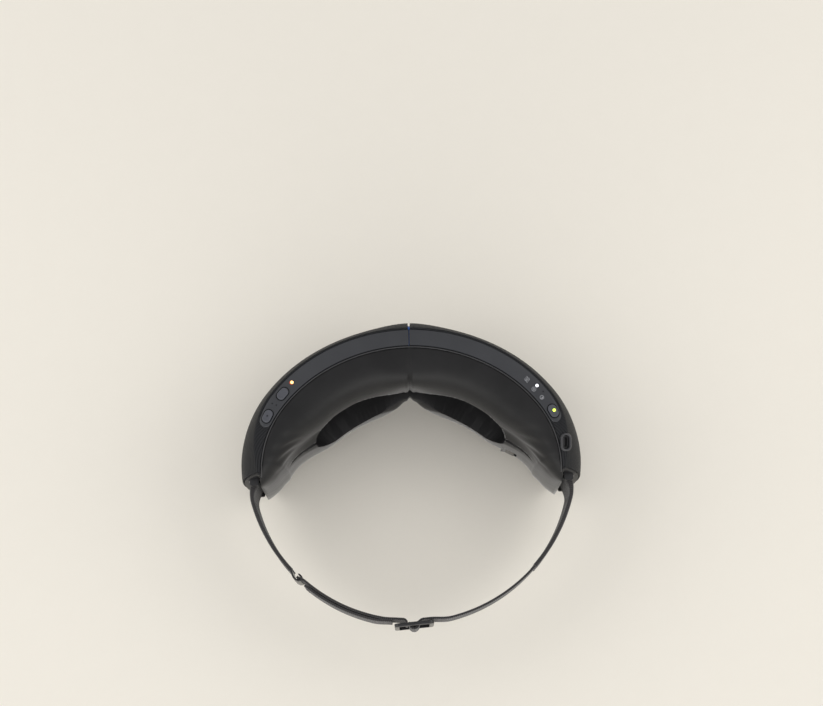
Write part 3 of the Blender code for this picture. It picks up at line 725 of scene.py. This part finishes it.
# --- Pocket lining: smooth knitted fabric over the warm air bladders, stretched across both pockets -----
# It is let into the bottom of the eye pocket, and runs over the bridge between the two eyes.
def knit(name, dark, light, pitch):
    """Smooth knit: rows of tiny loops."""
    made, start, shader = finish(name, 0.8, Sheen_Weight=0.2, Sheen_Roughness=0.5)
    place = start.make("TexCoord", output="Object")
    loops = start.make("TexVoronoi", {"feature": "SMOOTH_F1"}, {"Vector": place, "Scale": 1 / pitch})
    cloud = speckle(start, 70.0)
    feed(colours(start, loops * 0.5 + cloud * 0.5, dark, light), shader, "Base Color")
    feed(loops * 0.15 + 0.72, shader, "Roughness")
    feed(rough_bump(start, loops, 0.35, 0.0003), shader, "Normal")
    return made


lining_skin = knit("pocket_knit", (0.010, 0.0095, 0.0095), (0.017, 0.016, 0.016), 0.0006)
lining_reach = 0.0606
floor_line = [spot(a, pocket_floor, 0) for a in spaced(0, 70, 280)]
front_rows, back_rows = [], []
for x in spaced(-lining_reach, lining_reach, 140):
    middle, half = pocket_outline(x)
    y = min(floor_line, key=lambda p: abs(p.x - abs(x))).y
    row = []
    for v in spaced(-1, 1, 18):
        bulge = 0.0010 * (1 - v * v) * smooth(abs(x) / 0.02)
        row.append(Vector((x, y - bulge, middle + (half + 0.0004) * v)))
    front_rows.append(row)
    back_rows.append([p + Vector((0, 0.0012, 0)) for p in row])
lining = loft("pocket_lining", [a + b[::-1] for a, b in zip(front_rows, back_rows)], lining_skin)
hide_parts("left_eye_panel", "right_eye_panel")
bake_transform(lining)

# --- Strap slots: an end cap on each half with a raised oval rim, and a steel bar for the strap ---------
# The caps are moulded black nylon pressed into the ends of the shells; the rim keeps the strap off the edge.
black_nylon = moulded("black_nylon", (0.010, 0.010, 0.011), (0.018, 0.018, 0.020), 0.45, 2200.0, 0.18)
rim_nylon = moulded("rim_nylon", (0.028, 0.028, 0.031), (0.042, 0.042, 0.046), 0.36, 2200.0, 0.12)
bar_low, bar_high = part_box("right_strap_bar")
bar = (bar_low + bar_high) / 2
slot_length, slot_width, rim_radius = 0.0400, 0.0056, 0.0008
slot_face, slot_slant = -0.0007, 0.17
for side, word in ((-1, "left"), (1, "right")):
    path = []
    for x, z in rounded(slot_width + 1.2 * rim_radius, slot_length + 1.2 * rim_radius, slot_width / 2, 10):
        path.append(Vector((side * (bar.x + x), slot_face - slot_slant * x, bar.z + z)))
    for i in range(len(path)):
        span = (path[i] - path[i - 1]).length
        if span > 0.01:
            path = path[:i] + [path[i - 1].lerp(path[i], k / 20) for k in range(1, 20)] + path[i:]
            break
    rim = tube(word + "_slot_rim", path, rim_radius, rim_nylon, loop=True)
    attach(rim, word + "_half")

# --- Charging port: an oval opening with a raised rim, high on the right-hand end ------------------------
# The rim is a separate moulding clipped through the shell; the socket sits in the dark at its bottom.
port_out = Vector((0.28, -0.25, 0.93)).normalized()
port_side = port_out.cross(Vector((1, 0, 0))).normalized()
port_place = Matrix((port_side.cross(port_out), port_side, port_out)).transposed().to_4x4()
port_place.translation = spot(84.0, 0.0122, heights(84.0)[1] - 0.0009)


def oval(grow):
    return rounded(0.0042 + 2 * grow, 0.0084 + 2 * grow, min(0.0020 + grow, 0.0034), 8)


levels = ((-0.0048, oval(0.0015)), (0.0002, oval(0.0016)), (0.0007, oval(0.00155)), (0.00105, oval(0.0013)),
          (0.0012, oval(0.0010)), (0.00115, oval(0.0006)), (0.0009, oval(0.0003)), (0.0004, oval(0.0001)),
          (-0.0010, oval(0.0)), (-0.0040, oval(0.0)), (-0.0040, oval(-0.0015)))
port_rim = stacked("port_rim", port_place, levels, rim_nylon)
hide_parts("port_bezel")
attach(port_rim, "right_half")
# the fabric is cut away under the rim
port_cut = (0.0036, 0.0056)
inside = port_place.inverted()
fabric = bmesh.new()
fabric.from_mesh(bpy.data.objects["right_mesh"].data)
spots = [(face, inside @ face.calc_center_median()) for face in fabric.faces]
under_rim = [face for face, p in spots if hypot(p.x / port_cut[0], p.y / port_cut[1]) < 1 and abs(p.z) < 0.01]
bmesh.ops.delete(fabric, geom=under_rim, context="FACES")
fabric.to_mesh(bpy.data.objects["right_mesh"].data)
fabric.free()

# --- Wearing sensor: a slanted window in the right-hand cheek with an emitter square and a dash ----------
# The window is smoked plastic, let in flush with the leather.
smoked = moulded("smoked_window", (0.016, 0.016, 0.017), (0.024, 0.024, 0.025), 0.22, 900.0, 0.03)
emitter_skin = moulded("emitter_plate", (0.16, 0.16, 0.17), (0.22, 0.22, 0.23), 0.35, 2500.0, 0.05)

def plate(name, place, x, y, width, height, low, high, skin):
    edge = min(width, height)
    levels = []
    for z, inset in ((low, 0), (high - 0.12 * (high - low), 0), (high, 0.08 * edge)):
        outline = rounded(width - 2 * inset, height - 2 * inset, 0.2 * edge, 4)
        levels.append((z, [(x + a, y + b) for a, b in outline]))
    piece = stacked(name, place, levels, skin)
    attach(piece, "right_half")


plate("sensor_emitter", sensor_place, 0.0004, -0.0012, 0.0029, 0.0040, -0.0002, 0.0001, emitter_skin)
plate("sensor_dash", sensor_place, 0.0004, 0.0026, 0.0029, 0.0009, -0.0002, 0.0001, emitter_skin)

# --- Strap tabs: folded webbing looped round each steel bar and sewn to itself ---------------------------
# Black elastic webbing in a fine rib, with bound edges; the tabs narrow from the bar to the clasp and hem.
strap_centre, strap_radius = 0.0136, 0.1053
strap_z = bar.z
bar_turn = acos(-(bar.y - strap_centre) / strap_radius)
strap_length = strap_radius * bar_turn
tab_end = 0.062


def strap_spot(side, run, lift, z):
    """A place on the strap: how far it is behind the bar, how far outside the middle line, and its height."""
    turn = bar_turn - run / strap_radius
    pull = (strap_radius * sin(bar_turn) - bar.x) * max(1 - run / 0.012, 0) ** 2
    away = strap_radius - pull + lift
    return Vector((side * away * sin(turn), strap_centre - away * cos(turn), z))


def webbing():
    """Woven webbing: fine ribs across the strap, with warp threads that pass over and under them."""
    made, start, shader = finish("black_webbing", 0.85, Sheen_Weight=0.3, Sheen_Roughness=0.5)
    place = start.make("UVMap", {"uv_map": "cloth"})
    parts = start.make("SeparateXYZ", {}, {"Vector": place})
    along = Tone(start.tree, parts.socket.node.outputs["X"])
    up = Tone(start.tree, parts.socket.node.outputs["Y"])
    rib = (along * (2 * pi / 0.0013)).math("SINE", along * (2 * pi / 0.0013))
    warp = (up * (2 * pi / 0.0011)).math("SINE", up * (2 * pi / 0.0011))
    thread = speckle(start, 2600.0, 3.0)
    weave = rib * warp * 0.5 + rib * 0.5
    feed(colours(start, weave * 0.28 + thread * 0.4 + 0.3, (0.009, 0.0085, 0.009), (0.030, 0.027, 0.028)),
         shader, "Base Color")
    feed(thread * 0.2 + 0.70, shader, "Roughness")
    feed(rough_bump(start, weave * 0.8 + thread * 0.3, 0.6, 0.0004), shader, "Normal")
    return made


strap_webbing = webbing()
strap_thread = moulded("strap_thread", (0.030, 0.028, 0.029), (0.045, 0.042, 0.043), 0.6, 3000.0, 0.2)


def strip_of(name, side, path, thick, tall):
    """Webbing along a path of (run, lift): eased edges with a bound hem; thick and tall take 0 to 1."""
    rings, places = [], []
    length = 0.0
    points = [strap_spot(side, run, lift, 0) for run, lift in path]
    for i, point in enumerate(points):
        ahead, behind = points[min(i + 1, len(points) - 1)], points[max(i - 1, 0)]
        run = (ahead - behind).normalized()
        across = Vector((run.y, -run.x, 0)) * side
        length += (point - points[i - 1]).length if i else 0.0
        share = i / (len(points) - 1)
        t, h = thick(share), tall(share)
        hem = min(0.0016, h * 0.2)
        profile = [(-h, 0), (-h + 0.25 * t, 0.75), (-h + t, 1.0), (-h + hem, 1.0), (-h + hem + 0.0004, 0.86)]
        profile += [(v, 0.86) for v in spaced(-h + hem + 0.0012, h - hem - 0.0012, 10)]
        profile += [(h - hem - 0.0004, 0.86), (h - hem, 1.0), (h - t, 1.0), (h - 0.25 * t, 0.75), (h, 0)]
        ring, spans = [], []
        for way, row in ((1, profile), (-1, profile[-2:0:-1])):
            for v, swell in row:
                ring.append(point + across * (way * swell * t) + Vector((0, 0, strap_z + v)))
                spans.append((length, v))
        rings.append(ring)
        places += spans
    return loft(name, rings, strap_webbing, uv=places)


def stitches(name, side, run, lift, rows, body):
    """A row of stitches up the strap at one run, each a small bead half sunk in the webbing."""
    verts, faces = [], []
    for z in rows:
        for k in range(5):
            turn = pi * k / 4
            size = 0.00022 * sin(turn) + 0.00002
            for j in range(6):
                a = 2 * pi * j / 6
                place = strap_spot(side, run + size * cos(a), lift + size * sin(a), z - 0.0007 * cos(turn))
                verts.append(place)
        base = len(verts) - 30
        for k in range(4):
            for j in range(6):
                a, b = base + k * 6 + j, base + k * 6 + (j + 1) % 6
                faces.append((a, b, b + 6, a + 6))
        faces.append(tuple(base + j for j in range(6))[::-1])
        faces.append(tuple(base + 24 + j for j in range(6)))
    mesh = bpy.data.meshes.new(name)
    mesh.from_pydata(verts, [], faces)
    mesh.shade_smooth()
    mesh.materials.append(strap_thread)
    row = bpy.data.objects.new(name, mesh)
    bpy.context.collection.objects.link(row)
    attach(row, body)


tab_half, band_half = 0.0180, 0.0125
loop_radius = 0.00225


def tab_height(run):
    return tab_half - (tab_half - band_half - 0.001) * smooth(run / tab_end)


for side, word in ((-1, "left"), (1, "right")):
    path = [(-loop_radius * cos(radians(a)), 0.0) for a in (4, 20, 36, 52, 68)]
    path += [(run, 0.0) for run in spaced(0, tab_end, 40)]

    def tab_thick(share):
        run = path[round(share * (len(path) - 1))][0]
        if run < 0:
            return sqrt(max(loop_radius ** 2 - run ** 2, 1e-9))
        return loop_radius - 0.0009 * smooth(run / 0.010)

    tab = strip_of(word + "_tab", side, path, tab_thick,
                   lambda share: tab_height(max(path[round(share * (len(path) - 1))][0], 0)))
    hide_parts(word + "_strap_tab")
    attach(tab, word + "_strap")
    for k, run in enumerate((0.0125, 0.0145, 0.0565, 0.0585)):
        half = tab_height(run) - 0.0025
        rows = [strap_z + v for v in spaced(-half, half, int(half / 0.0011))]
        for way in (-1, 1):
            lift = way * (loop_radius - 0.0009) * 0.88
            face = "in" if way < 0 else "out"
            stitches(f"{word}_tab_stitch_{k}_{face}", side, run, lift, rows, word + "_strap")

# --- Clasp: a flat black hook at the end of the left tab, which the left band's loop hangs on ------------
# It is one moulding: a flat tongue sewn into the tab, and a lip that curls round the loop.
hook_skin = moulded("clasp_nylon", (0.010, 0.010, 0.011), (0.018, 0.018, 0.019), 0.28, 1800.0, 0.08)


def curved_plate(name, path, thickness, half, skin):
    rings = []
    points = [strap_spot(-1, run, lift, 0) for run, lift in path]
    for i, point in enumerate(points):
        run = (points[min(i + 1, len(points) - 1)] - points[max(i - 1, 0)]).normalized()
        across = Vector((run.y, -run.x, 0))
        end = min(i, len(points) - 1 - i) / 2
        t = thickness * min(0.55 + 0.45 * end, 1.0)
        ring = []
        for v, w in rounded(2 * half, 2 * t, t * 0.9, 4):
            ring.append(point + across * w + Vector((0, 0, strap_z + v)))
        rings.append(ring)
    return loft(name, rings, skin)


hook_path = [(0.0560, 0.0), (0.0585, 0.0), (0.0605, 0.0), (0.0625, 0.0004), (0.0642, 0.0013),
             (0.0660, 0.0020), (0.0680, 0.0021), (0.0697, 0.0015), (0.0706, 0.0004), (0.0704, -0.0008),
             (0.0694, -0.0016), (0.0680, -0.0018), (0.0668, -0.0016)]
hook = curved_plate("clasp", hook_path, 0.00060, band_half + 0.0008, hook_skin)
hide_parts("clasp_hook")
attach(hook, "left_strap")

# --- Bands: the adjustable webbing, doubled on the left and single on the right, through the slider ------
# The left band is a loop through the clasp, its two layers lie apart; the right one wraps the middle bar
# of the slider and comes back out through its other window.
band_thick = 0.00078
slider_lift = 0.0012
inner_path = [(0.0672, 0.0003), (0.0684, 0.0002), (0.0700, -0.0004)]
inner_path += [(run, -0.0011) for run in spaced(0.0725, strap_length - 0.0200, 36)]
inner_path += [(strap_length - d, -0.0011 - 0.0006 * smooth((0.020 - d) / 0.010))
               for d in spaced(0.0185, 0.0080, 7)]
inner_path += [(strap_length - d, lift)
               for d, lift in ((0.0068, -0.0017), (0.0057, -0.0013), (0.0050, -0.0005), (0.0047, 0.0006),
                               (0.0047, 0.0018))]
outer_path = [(run, 0.0011) for run in spaced(0.0745, strap_length - 0.026, 36)]
outer_path += [(strap_length - d, 0.0011 - 0.0011 * smooth((0.026 - d) / 0.012))
               for d in spaced(0.0245, 0.0140, 8)]
for name, path, replaced in (("left_inner_band", inner_path, "left_band"),
                             ("left_outer_band", outer_path, None)):
    band = strip_of(name, -1, path, lambda share: band_thick, lambda share: band_half)
    if replaced:
        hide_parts(replaced)
    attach(band, "left_strap")
rows = [strap_z + v for v in spaced(-band_half + 0.0022, band_half - 0.0022, 9)]
stitches("left_band_stitch", -1, 0.0775, 0.0012 + band_thick * 0.88, rows, "left_strap")

wrap_radius = 0.0027
right_path = [(run, 0.0) for run in spaced(tab_end - 0.002, strap_length - 0.024, 40)]
right_path += [(strap_length - d, -0.0017 * smooth((0.024 - d) / 0.014)) for d in spaced(0.0225, 0.0075, 10)]
right_path += [(strap_length - d, lift)
               for d, lift in ((0.0060, -0.0017), (0.0046, -0.0014), (0.0036, -0.0007))]
right_path += [(strap_length - wrap_radius * cos(radians(a)), slider_lift + wrap_radius * sin(radians(a)))
               for a in spaced(-25, 205, 18)]
right_strip = strip_of("right_strip", 1, right_path, lambda share: band_thick, lambda share: band_half)
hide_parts("right_band")
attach(right_strip, "right_strap")

# --- Slider: a flat plate with two windows and a middle bar, which sets the length of the strap ----------
# Moulded black nylon with eased edges; it hangs a little askew on the pull of the webbing.
slider_half, slider_tall, slider_tilt = 0.0125, 0.0155, 5.0
slider_place = Matrix.Translation(Vector((0, strap_centre - strap_radius - slider_lift, strap_z)))
slider_place @= Matrix.Rotation(radians(slider_tilt), 4, "Z") @ Matrix.Rotation(radians(90), 4, "X")
levels = []
for depth, inset in ((-0.0012, 0.0006), (-0.00105, 0.0002), (-0.0008, 0), (0.0008, 0), (0.00105, 0.0002),
                     (0.0012, 0.0006)):
    levels.append((depth, rounded(2 * (slider_half - inset), 2 * (slider_tall - inset), 0.003)))
slider = stacked("ladder_slider", slider_place, levels, hook_skin)
windows = []
for way in (-1, 1):
    window_place = slider_place @ Matrix.Translation(Vector((way * 0.0054, 0, 0)))
    outline = rounded(0.0084, 2 * band_half + 0.0016, 0.0008)
    windows.append(stacked("slider_window", window_place, ((-0.004, outline), (0.004, outline)), hook_skin))
carve(slider, windows)
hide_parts("slider")
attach(slider, "left_strap")

# --- Inside the halves: the shells, hinge, motors, pump, cells and boards --------------------------------
# They keep the frame's own shapes; each gets the finish of what it is made of.
shell_skin = moulded("moulded_shell", (0.018, 0.018, 0.020), (0.030, 0.030, 0.033), 0.5, 1600.0, 0.2)
cap_skin = moulded("end_cap_nylon", (0.008, 0.008, 0.009), (0.014, 0.014, 0.015), 0.5, 2200.0, 0.2)
satin_steel = moulded("satin_steel", (0.42, 0.42, 0.44), (0.58, 0.58, 0.60), 0.28, 900.0, 0.05, metallic=1.0)
dark_steel = moulded("blackened_steel", (0.035, 0.035, 0.037), (0.06, 0.06, 0.063), 0.45, 900.0, 0.05,
                     metallic=1.0)
turned_brass = moulded("turned_brass", (0.55, 0.38, 0.13), (0.72, 0.52, 0.22), 0.3, 900.0, 0.05, metallic=1.0)
lacquered_board = moulded("lacquered_board", (0.006, 0.05, 0.022), (0.012, 0.10, 0.045), 0.35, 1200.0, 0.15)
bladder_film = moulded("bladder_film", (0.16, 0.17, 0.19), (0.24, 0.25, 0.27), 0.3, 300.0, 0.2)
heater_film = moulded("heater_film", (0.26, 0.10, 0.02), (0.42, 0.20, 0.06), 0.35, 500.0, 0.2)
cell_wrap = moulded("cell_wrap", (0.03, 0.07, 0.24), (0.06, 0.11, 0.34), 0.35, 200.0, 0.1)
finishes = (
    (dark_steel, ("strap_bar",)),
    (shell_skin, ("visor_shell", "back_frame")),
    (cap_skin, ("end_cap",)),
    (smoked, ("sensor_window",)),
    (satin_steel, ("hinge_pin", "hinge_leaf", "frame_screw", "motor_can", "pump_motor")),
    (turned_brass, ("pump_crank", "motor_weight")),
    (lacquered_board, ("main_board", "charge_board", "key_board")),
    (bladder_film, ("air_bladder",)),
    (heater_film, ("heater_sheet",)),
    (cell_wrap, ("battery_cell", "second_cell")),
    (black_nylon, ("pump_head", "valve_block", "usb_socket")),
)
for skin, kinds in finishes:
    for name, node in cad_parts.items():
        if name.removeprefix("left_").removeprefix("right_") in kinds:
            for holder in node.material_slots:
                holder.material = skin
